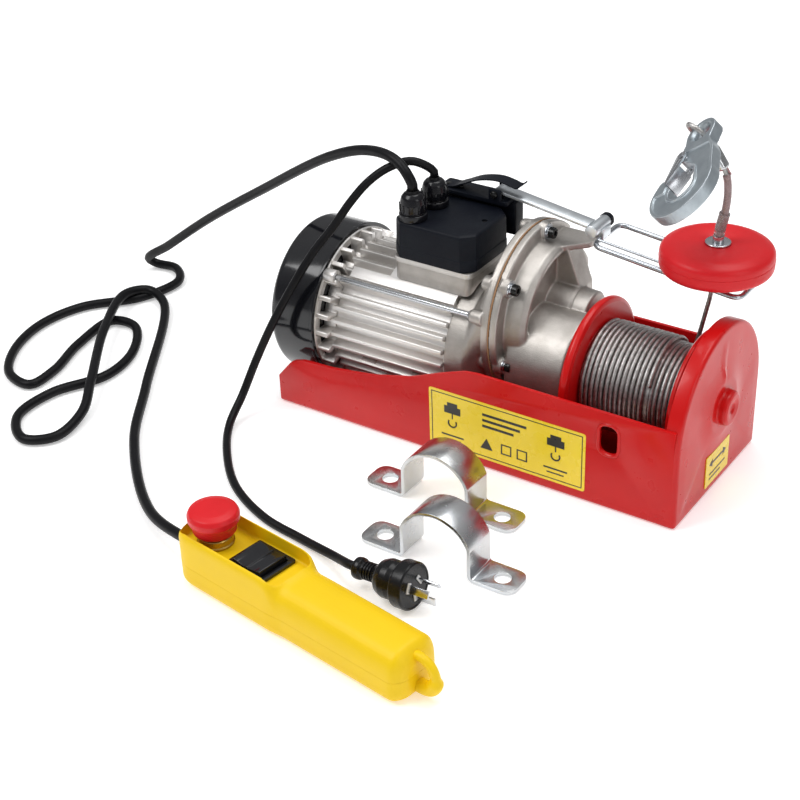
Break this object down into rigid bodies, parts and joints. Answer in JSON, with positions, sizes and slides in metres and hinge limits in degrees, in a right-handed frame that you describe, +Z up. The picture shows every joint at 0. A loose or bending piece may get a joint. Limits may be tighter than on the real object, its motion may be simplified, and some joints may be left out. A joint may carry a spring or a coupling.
{
  "type": "electric wire rope hoist",
  "caption": "Electric wire rope hoist: finned motor, gearbox and rope drum in a sheet tray, with hook, limit lever, mains lead, wired pendant and saddle clamps",
  "frame": {"origin": "centre of the underside of the tray, the flat face that is clamped to the carrying beam", "axes": "+X along the motor and drum from fan to drum end plate, +Y to the back, +Z up from the tray towards the hook"},
  "size_m": [0.695, 0.4544, 0.2941],
  "materials": {
    "red_paint": "gloss",
    "cast_aluminium": "satin",
    "steel": "satin",
    "zinc": "bright zinc",
    "galvanised": "satin",
    "rope_steel": "stranded",
    "copper": "enamelled",
    "brass": "satin",
    "gasket": "paper",
    "black_gloss": "gloss",
    "black_matte": "matte",
    "black_rubber": "matte",
    "yellow_plastic": "satin",
    "red_plastic": "satin"
  },
  "bodies": {
    "hoist": {"frame_tray": "red_paint", "end_boss": "red_paint", "drum_end_bush": "brass", "motor_housing": "cast_aluminium", "motor_bell": "cast_aluminium", "rear_end_shield": "cast_aluminium", "fan_cowl": "black_gloss", "stator_core": "steel", "stator_winding_front": "copper", "stator_winding_rear": "copper", "motor_bearing_rear": "steel", "motor_bearing_front": "steel", "brake_coil": "black_matte", "tie_rod": "zinc", "gearbox_gasket": "gasket", "gearbox_cover": "cast_aluminium", "cover_bolt_1": "black_gloss", "cover_bolt_2": "black_gloss", "cover_bolt_3": "black_gloss", "cover_bolt_4": "black_gloss", "output_bearing": "steel", "terminal_base": "cast_aluminium", "terminal_lid": "black_matte", "gland_pendant": "black_gloss", "gland_mains": "black_gloss", "run_capacitor": "black_matte", "limit_switch": "black_matte", "leaf_spring": "black_matte", "mains_cord": "black_rubber", "mains_plug": "black_rubber", "pendant_cord": "black_rubber"},
    "rotor": {"rotor_core": "steel", "motor_shaft": "steel", "cooling_fan": "black_matte", "brake_disc": "steel"},
    "idler": {"idler_gear": "steel", "idler_pinion_shaft": "steel"},
    "drum": {"output_gear": "steel", "rope_drum": "red_paint", "drum_shaft": "steel", "wound_rope": "rope_steel"},
    "hook_block": {"rope_tail": "rope_steel", "limit_weight": "red_plastic", "hook_rope": "rope_steel", "ferrule": "zinc", "rope_loop": "rope_steel"},
    "hook": {"lifting_hook": "galvanised"},
    "latch": {"hook_latch": "zinc"},
    "lever": {"lever_arm": "zinc", "lever_sleeve": "zinc", "wire_loop": "zinc"},
    "pendant": {"pendant_shell_upper": "yellow_plastic", "pendant_shell_lower": "yellow_plastic", "estop_collar": "brass", "contact_block": "black_matte"},
    "stop_plunger": {"estop_plunger": "black_matte"},
    "stop_cap": {"estop_cap": "red_plastic"},
    "rocker": {"rocker_button": "black_gloss"},
    "clamp_1": {"saddle_clamp_1": "zinc"},
    "clamp_2": {"saddle_clamp_2": "zinc"}
  },
  "joints": [
    {"name": "drum_spin", "type": "hinge", "parent": "hoist", "child": "drum", "pos_m": [0, 0, 0.076], "axis": [1, 0, 0], "range_deg": [0, 290]},
    {"name": "rotor_spin", "type": "hinge", "parent": "hoist", "child": "rotor", "pos_m": [0, 0, 0.076], "axis": [1, 0, 0], "range_deg": [0, 7250]},
    {"name": "idler_spin", "type": "hinge", "parent": "hoist", "child": "idler", "pos_m": [0, 0.02892, 0.11047], "axis": [1, 0, 0], "range_deg": [-1450, 0]},
    {"name": "hook_travel", "type": "slide", "parent": "hoist", "child": "hook_block", "axis": [0, 0, 1], "range_m": [0, 0.223], "deforming": ["rope_tail"]},
    {"name": "hook_swing", "type": "hinge", "parent": "hook_block", "child": "hook", "pos_m": [0.1455, 0.045, 0.2808], "axis": [0.7995, -0.0724, 0.5962], "range_deg": [0, 15]},
    {"name": "latch_open", "type": "hinge", "parent": "hook", "child": "latch", "pos_m": [0.14193, 0.02272, 0.26611], "axis": [-0.5739, -0.3847, 0.7229], "range_deg": [0, 30], "stiffness_Nm_per_rad": 0.05, "springref_deg": -17.19},
    {"name": "limit_lever", "type": "hinge", "parent": "hoist", "child": "lever", "pos_m": [-0.034, 0.04, 0.197], "axis": [0, 1, 0], "range_deg": [0, 3], "stiffness_Nm_per_rad": 2, "springref_deg": -6.88},
    {"name": "pendant_lift", "type": "slide", "parent": "hoist", "child": "pendant", "axis": [0, 0, 1], "range_m": [0, 0.06]},
    {"name": "stop_press", "type": "slide", "parent": "pendant", "child": "stop_plunger", "axis": [0, 0, -1], "range_m": [0, 0.005], "stiffness_N_per_m": 800, "springref_m": -0.004},
    {"name": "stop_twist", "type": "hinge", "parent": "stop_plunger", "child": "stop_cap", "pos_m": [-0.0752, -0.31302, 0.05], "axis": [0, 0, 1], "range_deg": [0, 45], "stiffness_Nm_per_rad": 0.05, "springref_deg": -5.73},
    {"name": "rocker_tilt", "type": "hinge", "parent": "pendant", "child": "rocker", "pos_m": [-0.02852, -0.31865, 0.033], "axis": [0.1513, 0.9885, 0], "range_deg": [-8, 8], "stiffness_Nm_per_rad": 0.3},
    {"name": "clamp_1_lift", "type": "slide", "parent": "hoist", "child": "clamp_1", "axis": [0, 0, 1], "range_m": [0, 0.08]},
    {"name": "clamp_2_lift", "type": "slide", "parent": "hoist", "child": "clamp_2", "axis": [0, 0, 1], "range_m": [0, 0.08]}
  ],
  "couplings": [
    {"joint": "rotor_spin", "follows": "drum_spin", "ratio": 25},
    {"joint": "idler_spin", "follows": "drum_spin", "ratio": -5},
    {"joint": "hook_travel", "follows": "drum_spin", "m_per_rad": 0.044}
  ]
}
